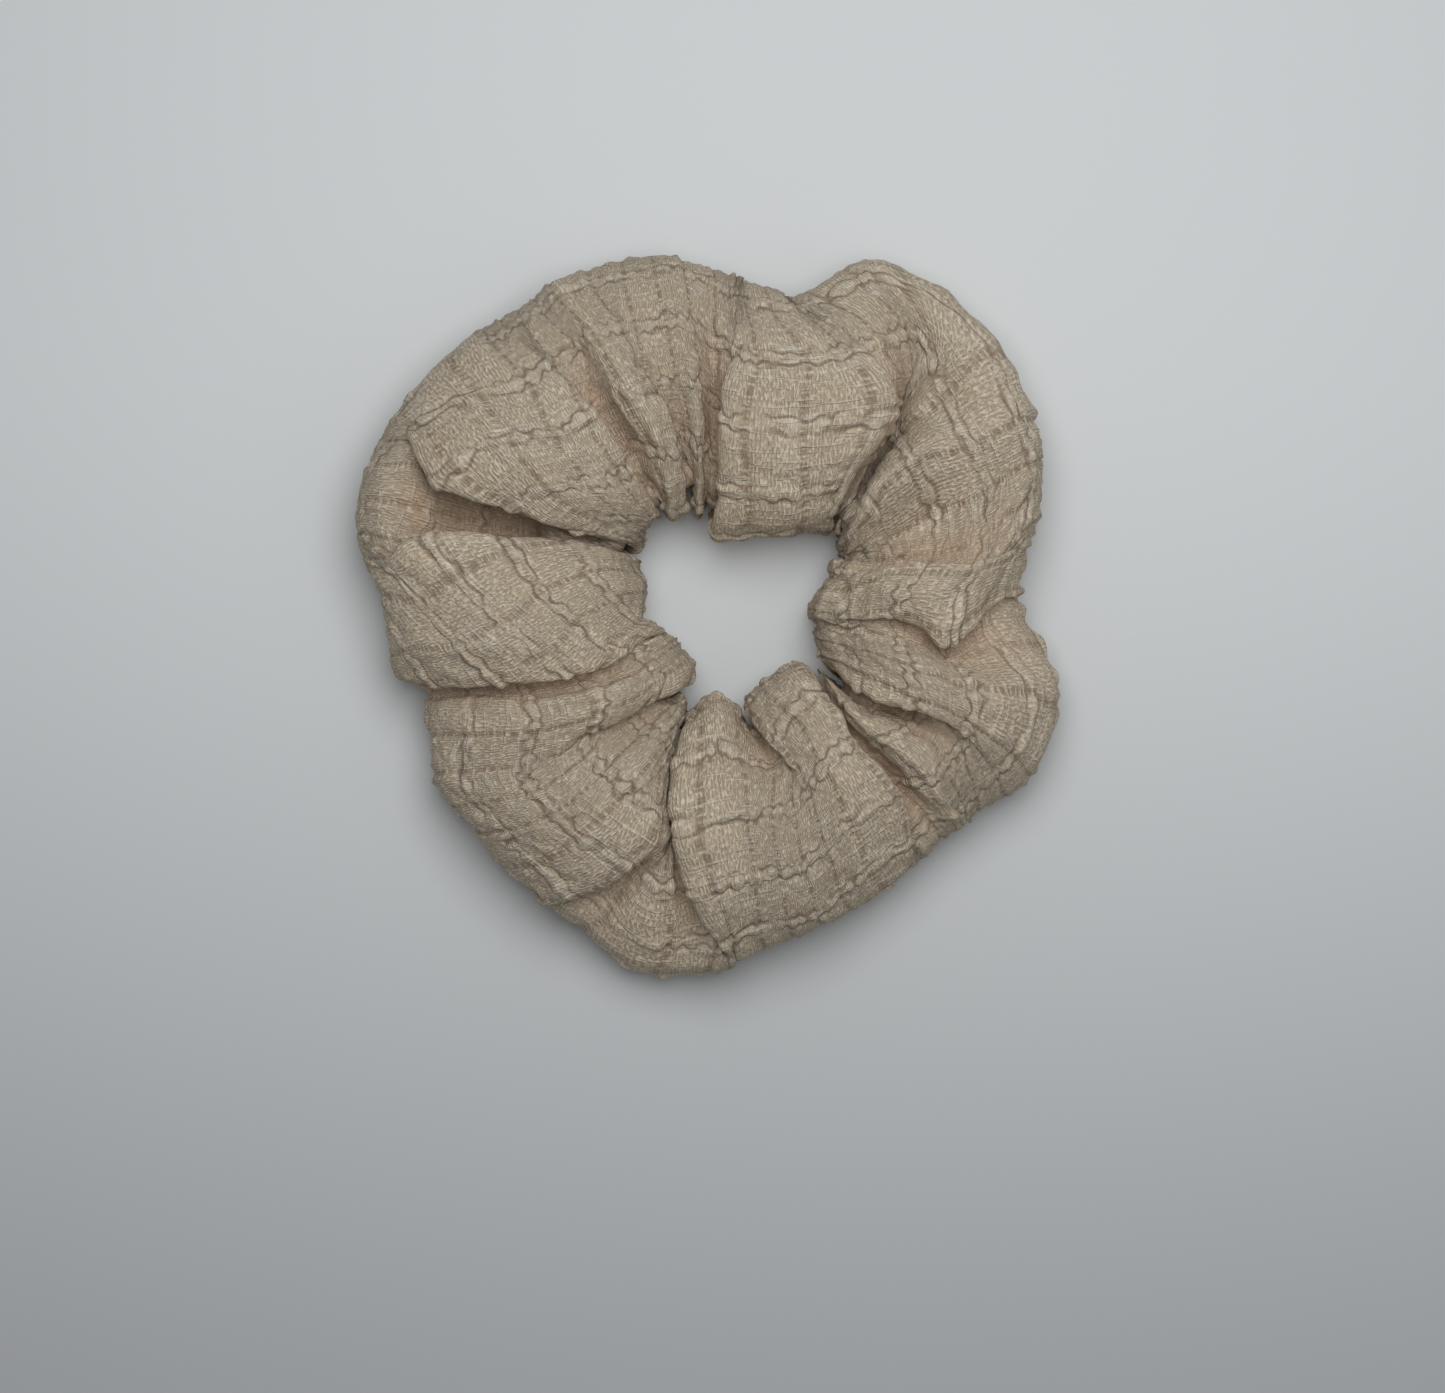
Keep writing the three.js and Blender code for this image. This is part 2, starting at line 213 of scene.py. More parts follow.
def hermite(a, b, slope_a, slope_b, u):
    """The smooth step from a to b at u, from 0 to 1."""
    return (
        a * (1 + 2 * u) * (1 - u) ** 2
        + slope_a * u * (1 - u) ** 2
        + b * u * u * (3 - 2 * u)
        - slope_b * u * u * (1 - u)
    )


def catmull(knots, values, at):
    """A smooth curve through values (n, k) at increasing knots (n), read at the places asked for."""
    values = np.asarray(values, float)
    slopes = np.gradient(values, knots, axis=0)
    i = np.clip(np.searchsorted(knots, at, side="right") - 1, 0, len(knots) - 2)
    span = (knots[i + 1] - knots[i])[..., None]
    u = (at - knots[i])[..., None] / span
    return hermite(values[i], values[i + 1], slopes[i] * span, slopes[i + 1] * span, u)


def even_steps(points, count):
    """count points at even distances along a polyline drawn as a smooth curve."""
    points = np.asarray(points, float)
    knots = walked_along(points)
    fine = catmull(knots, points, np.linspace(0, knots[-1], count * 8))
    walked = walked_along(fine)
    want = np.linspace(0, walked[-1], count)
    return np.stack([np.interp(want, walked, fine[:, k]) for k in range(fine.shape[1])], axis=1)


def across_rib(values, v):
    """Reads values given evenly from the hole outwards at v, from 0 at the hole to 1 outside."""
    return catmull(np.linspace(0, 1, len(values)), np.asarray(values, float)[:, None], v)[..., 0]


def slope(p, q, r, back, ahead):
    """The slope at q, between p and r, which are back and ahead of it by these distances."""
    return ((q - p) / back * ahead + (r - q) / ahead * back) / (back + ahead)


class Ring:
    """The ribs as one surface that can be read at any distance round the ring and across the tube."""

    def __init__(self):
        across = np.linspace(0, 1, RIB_SAMPLES)
        plan = np.array([even_steps(rib["plan"], RIB_SAMPLES) for rib in RIBS])
        top = np.array([across_rib(rib["top"], across) for rib in RIBS])
        self.slide = np.array([rib.get("slide", 0.0) for rib in RIBS])
        step = np.roll(plan, -1, axis=0) - plan
        reach = lengths(step)[:, RING_SAMPLES].mean(axis=1)
        self.at = np.r_[0, np.cumsum(reach)]
        self.length = self.at[-1]
        count = len(RIBS)
        order = np.arange(-WRAP, count + WRAP + 1)
        self.knots = self.at[order % count] + order // count * self.length
        self.table = np.concatenate([plan, top[..., None]], axis=2)[order % count]

    def read(self, x, v):
        """Plan x, plan y and height of the top, at distances x and shares v across (same shapes)."""
        x = np.mod(x, self.length)
        i = np.clip(np.searchsorted(self.knots, x, side="right") - 1, 1, len(self.knots) - 3)
        row = v * (RIB_SAMPLES - 1)
        low = np.clip(row.astype(int), 0, RIB_SAMPLES - 2)
        share = (row - low)[..., None]

        def on_rib(k):
            return self.table[k, low] * (1 - share) + self.table[k, low + 1] * share

        before, a, b, after = on_rib(i - 1), on_rib(i), on_rib(i + 1), on_rib(i + 2)
        gap = np.diff(self.knots)[:, None]
        back, span, ahead = gap[i - 1], gap[i], gap[i + 1]
        slope_a = slope(before, a, b, back, span) * span
        slope_b = slope(a, b, after, span, ahead) * span
        return hermite(a, b, slope_a, slope_b, (x - self.knots[i])[..., None] / span)


def fold_points(overlap, deep, lead, relax, floor):
    """A gather in section, as (distance past its lip, depth below the puff), cloth before it on top.

    The cloth past the lip comes back up to the depth called floor: 0, or deeper in a pocket.
    """
    lip, tuck = LIP_RADIUS, TUCK_RADIUS
    points = [(-lead, 0.0), (-0.5 * (lead + lip), 0.0)]
    for turn in np.radians((-90, -45, 0, 45, 90)):
        points.append((-lip + lip * math.cos(turn), lip + lip * math.sin(turn)))
    for turn in np.radians((-90, 0, 90)):
        points.append((-overlap + tuck - tuck * math.cos(turn), 2 * lip + tuck + tuck * math.sin(turn)))
    bottom = 2 * (lip + tuck)
    points += [(-0.35 * overlap, 0.5 * (bottom + deep)), (0.3, deep)]
    for share, rest in ((0.3, 0.8), (0.65, 0.25), (1, 0)):
        points.append((share * relax, floor + rest * (deep - floor)))
    return np.array(points)


def gather_path(rib, before, after):
    """A gather's cloth as (distance from its rib, depth below the puff), and its distance once unfolded.

    before and after are the lengths of the puffs on either side.
    """
    over, under = (before, after) if rib["side"] > 0 else (after, before)
    overlap, lead = min(OVERLAP, FOLD_SHARE * over), min(FOLD_LEAD, FOLD_SHARE * over)
    relax = min(rib.get("relax", FOLD_RELAX), RELAX_SHARE * under)
    floor = rib["deep"] if "pocket" in rib else 0.0
    points = even_steps(fold_points(overlap, rib["deep"], lead, relax, floor), FOLD_STEPS)
    unfolded = np.linspace(points[0, 0], points[-1, 0], FOLD_STEPS)
    if rib["side"] < 0:
        points = points[::-1] * (-1, 1)
        unfolded = -unfolded[::-1]
    return points, unfolded


def whole_path(ring):
    """The strip once round the ring, as (folded distance, depth), the unfolded distance, and the rib whose
    gather each sample is in (or -1).
    """
    gathers = [k for k, rib in enumerate(RIBS) if "side" in rib]
    puff = np.roll(ring.at[gathers], -1) - ring.at[gathers]
    puff[-1] += ring.length
    parts = []
    for n, k in enumerate(gathers):
        path, unfolded = gather_path(RIBS[k], puff[n - 1], puff[n])
        parts.append((path + (ring.at[k], 0), unfolded + ring.at[k]))
    folded, opened, rib_of = [], [], []
    for n, k in enumerate(gathers):
        path, unfolded = parts[n]
        turn = ring.length if n == len(gathers) - 1 else 0
        following = parts[(n + 1) % len(gathers)][0][0]
        ends = path[-1, 0], following[0] + turn
        between = np.linspace(*ends, PUFF_STEPS + 2)[1:-1]
        depths = np.interp(between, ends, (path[-1, 1], following[1]))
        folded += [path, np.stack([between, depths], axis=1)]
        opened += [unfolded, between]
        rib_of += [np.full(FOLD_STEPS, k), np.full(PUFF_STEPS, -1)]
    folded, opened = np.concatenate(folded), np.concatenate(opened)
    folded = np.vstack([folded, folded[:1] + (ring.length, 0)])
    opened = np.r_[opened, opened[0] + ring.length]
    return folded, opened, np.concatenate(rib_of)


def walk_round(ring):
    """The strip's path round the ring at the cloth's own pace.

    Gives each column's distance along the strip, the strip's length, and then for each column the folded
    and unfolded distance round the ring, the cloth's depth, and the rib whose gather it is in (or -1).
    """
    folded, opened, rib_of = whole_path(ring)
    walked = walked_along(folded)
    columns = int(round(walked[-1] / COLUMN_STEP))
    s = np.linspace(0, walked[-1], columns, endpoint=False)
    x_folded = np.interp(s, walked, folded[:, 0])
    depth = np.interp(s, walked, folded[:, 1])
    x_opened = np.interp(s, walked, opened)
    rib_of = rib_of[np.clip(np.searchsorted(walked, s), 0, len(rib_of) - 1)]
    # the strip's two ends meet in the tuck of the first gather
    from_tuck = np.abs(depth - 2 * LIP_RADIUS - TUCK_RADIUS) + 0.1 * np.abs(x_folded + OVERLAP)
    first = -int(np.argmin(np.where(rib_of == 0, from_tuck, np.inf)))
    x_folded, x_opened, depth, rib_of = (np.roll(a, first) for a in (x_folded, x_opened, depth, rib_of))
    return s, walked[-1], x_folded, x_opened, depth, rib_of


def closed_share(rib_of, v):
    """How far the cloth's folds are closed at each place across the tube: 1 is right over."""
    close = np.ones_like(v)
    for k, rib in enumerate(RIBS):
        if "side" in rib:
            chosen = rib_of == k
            close[chosen] = np.clip(across_rib(rib["close"], v[chosen]), 0, 1)
    return close


def rounded_square(value):
    return np.sign(value) * np.abs(value) ** (2 / SECTION_POWER)


def section_places(ring, x, under, turn):
    """Where the cloth lies (x, y, z) at distances x round the ring and turns round the section.

    under is how far inside the puff each place lies.
    """
    across, rise = rounded_square(np.cos(turn)), rounded_square(np.sin(turn))
    hole_side, outside = ring.read(x, np.zeros_like(x)), ring.read(x, np.ones_like(x))
    width = lengths((outside - hole_side)[..., :2])
    inset = np.where(across < 0, np.minimum(under, INNER_INSET), under)
    v = 0.5 + 0.5 * across[None, :] * np.clip(1 - 2 * inset / width, 0.1, 1)
    place = ring.read(x, v)
    top = place[..., 2]
    beyond_band = NO_BAND * smooth((v - BAND_SHARE) / BAND_SHARE)
    under = np.minimum(under, np.maximum(top - OVER_BAND, 0.5) + beyond_band)
    belly = BELLY * top
    z_top = belly + rise * np.maximum(top - belly - under, THINNEST)
    low = np.where(rise < 0, UNDERSIDE_DIP, 1.0)[None, :]
    z_low = belly * (1 + np.maximum(rise * FLATTENED, -1.0)) + under * low * np.abs(rise)
    return np.stack([place[..., 0], place[..., 1], np.where(rise > 0, z_top, z_low)], axis=2)


def folded_tube(ring):
    """The cloth's places (column, place round the section), before they are measured out evenly.

    Gives each column's distance along the strip, the strip's length, the places as xyz and depth inside a
    fold, how far the weave has slid at each column, and how far the column is folded under.
    """
    s, strip_length, x_folded, x_opened, depth, rib_of = walk_round(ring)
    # the section starts under the long seam and goes up the outside, over the top and down the hole
    start = -np.arccos((2 * SEAM_AT - 1) * SEAM_FLAT)
    turn = np.linspace(0, 2 * np.pi, AROUND_SAMPLES, endpoint=False) + start
    across = rounded_square(np.cos(turn))
    close = closed_share(rib_of, np.broadcast_to(0.5 + 0.5 * across, (len(s), len(turn))))
    x = x_opened[:, None] + close * (x_folded - x_opened)[:, None]
    under = depth[:, None] * (close + OPEN_DIP * (1 - close))
    places = section_places(ring, x, under, turn)
    inside = (depth[:, None] * close)[..., None]
    slide = np.interp(x_opened, ring.at[:-1], ring.slide, period=ring.length)
    return s, strip_length, np.concatenate([places, inside], axis=2), slide, smooth(depth / 2)


def smoothed(values, spread):
    """Values smoothed along the first axis, which closes on itself; spread is in columns."""
    rate = np.fft.fftfreq(len(values))
    kept = np.exp(-2 * (np.pi * spread * rate) ** 2).reshape(-1, *[1] * (values.ndim - 1))
    return np.fft.ifft(np.fft.fft(values, axis=0) * kept, axis=0).real


def measured_out(points, rows):
    """Each column's points moved to even distances round the tube, and the mean distance round it.

    The distances ease from column to column, so that the rows run smoothly along the tube.
    """
    closed = np.concatenate([points, points[:, :1]], axis=1)
    step = lengths(np.diff(closed[..., :3], axis=1))
    walked = np.concatenate([np.zeros((len(points), 1)), np.cumsum(step, axis=1)], axis=1)
    share = smoothed(walked / walked[:, -1:], ROW_EASE / COLUMN_STEP)
    want = np.linspace(0, 1, rows)
    place = np.arange(closed.shape[1])
    columns = []
    for column, reached in zip(closed, share):
        at = np.interp(want, reached, place)
        columns.append(np.stack([np.interp(at, place, values) for values in column.T], axis=1))
    return np.array(columns), walked[:, -1].mean()


def link(name, data):
    """A new object in the scene with this mesh, light or camera."""
    obj = bpy.data.objects.new(name, data)
    bpy.context.scene.collection.objects.link(obj)
    return obj


def smooth_mesh(name, vertices, faces):
    """A smooth-shaded object with these vertices, in metres, and faces."""
    mesh = bpy.data.meshes.new(name)
    mesh.from_pydata(vertices, [], faces)
    mesh.polygons.foreach_set("use_smooth", [True] * len(mesh.polygons))
    return link(name, mesh)


def closed_quads(grid):
    """The corners of the quads over a grid of places that closes on itself both ways."""
    index = np.arange(grid.shape[0] * grid.shape[1]).reshape(grid.shape[:2])
    ahead, beside = np.roll(index, -1, axis=0), np.roll(index, -1, axis=1)
    return np.stack([index, ahead, np.roll(ahead, -1, axis=1), beside], axis=-1)


def grid_mesh(name, points, layers):
    """A mesh of quads over a (columns, rows) grid of points that closes on itself along the columns.

    layers are UV maps by name: (columns + 1, rows, 2), so that the last column can differ from the first.
    """
    quads = closed_quads(points)[:, :-1].reshape(-1, 4)
    obj = smooth_mesh(name, (points.reshape(-1, 3) * MM).tolist(), quads.tolist())
    for layer, uv in layers.items():
        here, there = uv[:-1], uv[1:]
        corners = np.stack([here[:, :-1], there[:, :-1], there[:, 1:], here[:, 1:]], axis=2)
        target = obj.data.uv_layers.new(name=layer)
        target.data.foreach_set("uv", corners.astype(np.float32).ravel())
    return obj


# ---------- the crinkle

CORD_GAP = 10.8  # between the puckered lines that run along the strip
BEAD = 3.6  # between the little puffs along a cord
CROSS_GAP = 8.0  # between the fainter ridges across it
SEED = 20261117
NOISE_CELLS = 256  # before the noise repeats
noise_table = np.random.default_rng(SEED).uniform(-1, 1, (NOISE_CELLS, NOISE_CELLS))


def noise(x, y):
    """Smooth noise from -1 to 1 that changes over about 1 in x and in y."""
    x, y = np.broadcast_arrays(x, y)
    i, j = np.floor(x).astype(int), np.floor(y).astype(int)
    u, v = smooth(x - i), smooth(y - j)
    i, j, i_next, j_next = (k % NOISE_CELLS for k in (i, j, i + 1, j + 1))
    a, b = noise_table[i, j], noise_table[i_next, j]
    c, d = noise_table[i, j_next], noise_table[i_next, j_next]
    return (a * (1 - u) + b * u) * (1 - v) + (c * (1 - u) + d * u) * v


def bell(distance, width):
    return np.exp(-((distance / width) ** 2))


def cords(s, t):
    """The cords along the strip, rows of little puffs between two wavy creases.

    Gives how far they stand up, how near one is, and how far its creases are.
    """
    wander = 0.7 * noise(s / 13, t / 40) + 0.28 * noise(s / 3.9 + 50, t / 30)
    cord = np.round((t - wander) / CORD_GAP)
    off = t - wander - cord * CORD_GAP
    key = cord * 7.3
    lively = 0.85 + 0.35 * noise(s / 8, key + 31)
    beat = 2 * np.pi * (s / BEAD + 0.7 * noise(s / 5, key + 3))
    bead = np.sin(beat) * (0.7 + 0.5 * noise(s / 7, key + 9))
    wiggle = 0.5 * bead + 0.6 * noise(s / 2.1 + 20, t / 1.1 + 7) + 0.35 * noise(s / 1.05, t / 0.8 + 60)
    to_crease = np.abs(off) - 1.15 - wiggle
    broken = np.clip(0.75 + 0.8 * noise(s / 3.5, key + 17 + 40 * (off > 0)), 0, 1)
    near_cord = np.exp(-((off / 2.3) ** 4)) * broken
    swell = (0.85 + 0.28 * bead) * bell(off, 1.9) * lively
    crease = -0.7 * bell(to_crease, 0.6) * near_cord
    bobble = 0.4 * noise(s / 1.6, t / 1.25 + 90) * bell(off, 1.9) * lively
    beside = 0.35 * noise(s / 1.5, t / 2.6) * bell(np.abs(off) - 2.8, 1.8)
    quilt = 0.25 * -np.cos(2 * np.pi * off / CORD_GAP)
    return swell + crease + bobble + beside + quilt, near_cord, to_crease


def cross_lines(s, t):
    """The fainter ridges across the strip, by their lines of upright stitches, and how far they are."""
    line = s - 1.3 * noise(t / 11, s / 60) - 0.4 * noise(t / 3.1, s / 40)
    row = np.round(line / CROSS_GAP)
    along = line - row * CROSS_GAP
    faint = 0.6 + 0.6 * noise(t / 9, row * 3.3)
    return 0.4 * bell(along - 0.7, 0.8) * faint - 0.45 * bell(along + 0.6, 0.6) * faint, along


def crinkle(s, t):
    """How far the cloth stands up at (s, t), how near a cord that is, and how far the cord's creases and
    the nearest cross line are.
    """
    cord, near_cord, to_crease = cords(s, t)
    cross, along = cross_lines(s, t)
    threads = 0.1 * noise(s / 14, t / 0.95) + 0.08 * noise(s / 5, t / 1.5 + 100)
    ribs = 0.13 * noise(s / 1.15 + 33, t / 6)
    crumple = 0.3 * noise(s / 6.5, t / 8 + 40) + 0.2 * noise(s / 3.2 + 9, t / 3.6)
    sag = 0.7 * noise(s / 15 + 70, t / 15)
    return cord + cross + threads + ribs + crumple + sag, near_cord, to_crease, along


def along_strip(grid):
    """The step from the place before each one to the place after it, along the strip."""
    return np.roll(grid, -1, axis=0) - np.roll(grid, 1, axis=0)


def grid_normals(points):
    """Outward normals of a grid that is closed along its columns."""
    return unit(np.cross(along_strip(points), np.gradient(points, axis=1)))


# ---------- the cover


def near_hole(places, start, reach):
    """1 up to this far from the middle of the hole, and fading to 0 over the reach."""
    return 1 - smooth((lengths(places[..., :2] - HOLE[:2]) - start) / reach)


def around_average(grid):
    """The middle of each place's four neighbours, on a grid that closes on itself both ways."""
    return sum(np.roll(grid, step, axis=axis) for step in (-1, 1) for axis in (0, 1)) / 4


def agreement(grid):
    """How well the four faces round each place agree: 1 where flat, near 0 where they fold over."""
    ahead, beside = np.roll(grid, -1, axis=0), np.roll(grid, -1, axis=1)
    normal = unit(np.cross(np.roll(ahead, -1, axis=1) - grid, beside - ahead))
    pair = normal + np.roll(normal, 1, axis=0)
    return lengths(pair + np.roll(pair, 1, axis=1)) / 4


def eased(tube, times, sharp):
    """The tube with its sharpest folds rounded off a little, so that its faces never fold back sharply.

    sharp is the turn at a place, from 0 to 1, from which it is rounded.
    """
    grid = tube[:, :-1].copy()
    for _ in range(times):
        for axis in (0, 1):
            before, after = np.roll(grid, 1, axis=axis), np.roll(grid, -1, axis=axis)
            length = lengths(after - grid) + lengths(grid - before)
            middle = 0.5 * (before + after)
            turn = 2 * lengths(middle - grid) / np.maximum(length, 1e-6)
            share = 0.7 * smooth((turn - sharp) / 0.3)
            beside = np.maximum(np.roll(share, 1, axis=axis), np.roll(share, -1, axis=axis))
            grid += (middle - grid) * np.maximum(share, 0.6 * beside)[..., None]
        folded_over = 0.6 * smooth((0.8 - agreement(grid)) / 0.4)
        grid += (around_average(grid) - grid) * folded_over[..., None]
    return np.concatenate([grid, grid[:, :1]], axis=1)


def settling_cloth(coarse):
    """The object that is simulated, with groups for where its cloth is held and where it grows."""
    faces = closed_quads(coarse).reshape(-1, 4).tolist()
    obj = smooth_mesh("settling", coarse.reshape(-1, 3).tolist(), faces)
    held, spare = obj.vertex_groups.new(name="held"), obj.vertex_groups.new(name="spare")
    looseness = near_hole(coarse / MM / SIM_SCALE, SPARE_FROM, SPARE_REACH)
    for i, (loose, z) in enumerate(zip(looseness.ravel(), coarse[..., 2].ravel())):
        on_table = z < ON_TABLE * MM * SIM_SCALE
        held.add([i], HELD_ON_TABLE if on_table else HELD - HELD_LESS * float(loose), "REPLACE")
        spare.add([i], float(loose), "REPLACE")
    return obj


def add_cloth(obj):
    """Blender's cloth: soft gauze, light gravity, and layers that stay apart."""
    cloth = obj.modifiers.new("cloth", "CLOTH")
    for name, value in CLOTH_SETTINGS.items():
        setattr(cloth.settings, name, value)
    cloth.settings.effector_weights.gravity = SIM_GRAVITY
    cloth.collision_settings.use_collision = False
    cloth.collision_settings.use_self_collision = True
    cloth.collision_settings.self_distance_min = SELF_GAP * MM * SIM_SCALE
    cloth.collision_settings.collision_quality = 2
    cloth.point_cache.frame_start, cloth.point_cache.frame_end = 1, SIM_FRAMES


def refined(values, at, turn, count):
    """Values (n, ...) known at the places at of a line that closes after turn, read at 0 to count - 1.

    The result's first two axes are swapped, so that a second call refines the other way.
    """
    padded = np.concatenate([values[-2:], values, values[:3]])
    knots = np.r_[at[-2:] - turn, at, at[:3] + turn].astype(float)
    fine = catmull(knots, padded.reshape(len(padded), -1), np.arange(count, dtype=float))
    return fine.reshape(count, *values.shape[1:]).swapaxes(0, 1)


def settled(tube):
    """The tube after a short cloth simulation, with some spare cloth at the hole and light gravity.

    It runs on every few columns and rows, and its moves are spread over the whole grid.
    """
    column, row = np.arange(0, len(tube), SIM_COLUMNS), np.arange(0, ROWS - 1, SIM_ROWS)
    coarse = tube[column][:, row] * MM * SIM_SCALE
    obj = settling_cloth(coarse)
    add_cloth(obj)
    for step in range(1, SIM_FRAMES + 1):
        bpy.context.scene.frame_set(step)
    moved = obj.evaluated_get(bpy.context.evaluated_depsgraph_get()).data
    after = np.empty(coarse.size)
    moved.vertices.foreach_get("co", after)
    bpy.context.scene.frame_set(1)
    shift = (after.reshape(coarse.shape) - coarse) / MM / SIM_SCALE
    shift *= np.minimum(1, SIM_CAP / np.maximum(lengths(shift), 1e-6))[..., None]
    mesh = obj.data
    bpy.data.objects.remove(obj)
    bpy.data.meshes.remove(mesh)
    return tube + refined(refined(shift, column, len(tube), len(tube)), row, ROWS - 1, ROWS)


def clear_of_elastic(tube):
    """Cloth that would cut into the elastic, moved almost over it or to the hole's side of it."""
    out = tube[..., :2] - HOLE[:2]
    radius = lengths(out)
    above = BAND_WIDTH / 2 + ELASTIC_ROOM - (tube[..., 2] - BAND_HEIGHT)
    inward = radius - BAND_RADIUS + BAND_THICKNESS + ELASTIC_ROOM
    beyond = BAND_RADIUS + BAND_THICKNESS + ELASTIC_ROOM - radius
    inside = (above > 0) & (above < BAND_WIDTH + ELASTIC_ROOM) & (inward > 0) & (beyond > 0)
    lift = inside & (above < inward)
    tube = tube.copy()
    tube[..., 2] += np.where(lift, LIFT_SHARE * above, 0)
    shift = np.where(inside & ~lift, inward / radius, 0)
    tube[..., :2] -= out * shift[..., None]
    return tube


class Cover:
    """The cover's shape: its grid of places, and what is known of each column and row.

    s, t: distances along the strip and round the tube; length, girth: of the whole strip and tube
    slide: how far the weave has slid round the tube; folded: how far each column is folded under
    hidden: how far inside a fold each place is, from 0 to 1; tube: the places, as (column, row, xyz)
    """

    def __init__(self):
        self.s, self.length, places, self.slide, self.folded = folded_tube(Ring())
        places, self.girth = measured_out(places, ROWS)
        self.t = np.linspace(0, self.girth, ROWS)
        self.hidden = smooth(places[..., 3] / HIDDEN_DEPTH)
        self.tube = places[..., :3] + HOLE
        self.tube = settled(self.tube)
        self.tube = eased(self.tube, 10, sharp=0.35)
        self.pucker()
        self.tube = eased(self.tube, 2, sharp=0.55)
        for _ in range(2):
            self.tube = eased(clear_of_elastic(self.tube), 3, sharp=0.5)
        self.tube = clear_of_elastic(self.tube)
        self.tube[..., 2] = np.maximum(self.tube[..., 2], TABLE_GAP)

    def on_cloth(self, t):
        """Where columns and the rows at t are on the cloth, which slide turns rather than shears."""
        lean = smoothed(np.gradient(self.slide, COLUMN_STEP), LEAN_EASE / COLUMN_STEP)
        from_top = LEAN_REACH * np.tanh((t - TOP_AT * self.girth) / LEAN_REACH)
        return self.s[:, None] + lean[:, None] * from_top[None, :], t[None, :] - self.slide[:, None]

    def pucker(self):
        """Raises the crinkle's relief, and wider ripples near the hole."""
        relief = crinkle(*self.on_cloth(self.t))[0]
        relief = 0.5 * relief + 0.5 * around_average(relief)
        relief *= smooth(np.minimum(self.t, self.girth - self.t) / SEAM_CALM)
        spacing = lengths(along_strip(self.tube)) / (2 * COLUMN_STEP)
        relief *= np.clip(smoothed(spacing, 2), 0.1, 1) ** 0.4
        wave = RIPPLE * noise(self.s[:, None] / 7.5 + 3, self.t[None, :] / 30)
        ripple = wave * near_hole(self.tube, RIPPLE_FROM, RIPPLE_REACH)
        self.tube = self.tube + grid_normals(self.tube) * (relief + ripple)[..., None]

    def sewn(self):
        """The places with the long edges drawn in and their allowances turned up, and the rows' t."""
        from_seam = np.minimum(self.t, self.girth - self.t)
        tube = self.tube.copy()
        tube[..., 2] += SEAM_GROOVE * bell(from_seam, SEAM_GROOVE_WIDTH)
        across = unit(tube[:, 2] - tube[:, -3])
        height = ALLOWANCE * (1 - ALLOWANCE_LESS * self.folded)
        steps = np.arange(1, ALLOWANCE_ROWS + 1) / ALLOWANCE_ROWS
        lift = steps[None, :, None] * height[:, None, None] * np.array([0, 0, 1.0])
        apart = ALLOWANCES_APART + ALLOWANCES_SPREAD * steps[None, :, None] ** 2
        spread = across[:, None] * apart
        near, far = tube[:, :1] + lift + spread, tube[:, -1:] + lift - spread
        t_step = ALLOWANCE * steps
        t_all = np.r_[-t_step[::-1], self.t, self.girth + t_step]
        return np.concatenate([near[:, ::-1], tube, far], axis=1), t_all

    def layers(self, t_all):
        """The UV maps, for rows at t_all round the tube.

        cloth: the cloth's own lengths, 10 mm to the unit
        crease: how near a cord each place is, and the distance to its creases
        ladder: how far inside a fold it is, and the distance to a line of upright stitches
        """
        pattern_s, pattern_t = self.on_cloth(t_all)
        pattern_s = np.vstack([pattern_s, pattern_s[:1] + self.length])
        pattern_t = np.vstack([pattern_t, pattern_t[:1]])
        _, near_cord, to_crease, along = crinkle(pattern_s, pattern_t)
        hidden = np.pad(self.hidden, ((0, 1), (ALLOWANCE_ROWS, ALLOWANCE_ROWS)), mode="edge")
        return {
            "cloth": np.stack([pattern_s, pattern_t], axis=-1) * 0.1,
            "crease": np.stack([near_cord, to_crease * 0.1 + 0.5], axis=-1),
            "ladder": np.stack([hidden, (along + 0.5) * 0.1 + 0.5], axis=-1),
        }


# ---------- elastic and threads

BAND_LAP = math.radians(26)  # where its two ends lie over each other
BAND_LAP_AT = math.radians(172)
BAND_LAP_GAP = 0.3
BAND_RIBS = 5  # along it, on each face
BAND_STEPS = 420
BAND_RIB_DEPTH = 0.2  # as a share of its thickness
THREAD_RADIUS = 0.14
THREAD_TAPER = 0.35  # of a thread's ends
NEARLY_UP = (0.02, 0.01, 1.0)  # never quite along a thread
STITCH = 2.8  # length, in the long seam
STITCH_BOW = 0.25  # how far the middle of a stitch stands up
STITCH_ABOVE = 0.7  # the groove, for its ends
ZIGZAG_RADIUS = 0.16
ZIGZAG_POINTS = 61
ZIGZAG_STITCH = 6  # points from side to side of the zigzag
ZIGZAG_FACE = 1.35  # from the elastic's middle line to the thread on either face
ZIGZAG_MARGIN = 1.5  # of the elastic's width that it leaves, both edges together
CLOSING_STITCH_ROWS = 7  # from one to the next
CLOSING_STITCH_UNDER = 0.25  # the cloth
CLOSING_STITCH_LOWEST = 0.3


def swept(name, sweeps):
    """One mesh of sweeps: closed sections (n, around, 3), each joined to the next, with flat ends."""
    vertices, faces = [], []
    for rings in sweeps:
        first = len(vertices)
        last, around = first + (len(rings) - 1) * rings.shape[1], rings.shape[1]
        vertices += [tuple(place) for place in rings.reshape(-1, 3) * MM]
        for start in range(first, last, around):
            for k in range(around):
                here, there = start + k, start + (k + 1) % around
                faces.append((here, there, there + around, here + around))
        faces += [range(first, first + around)[::-1], range(last, last + around)]
    return smooth_mesh(name, vertices, faces)


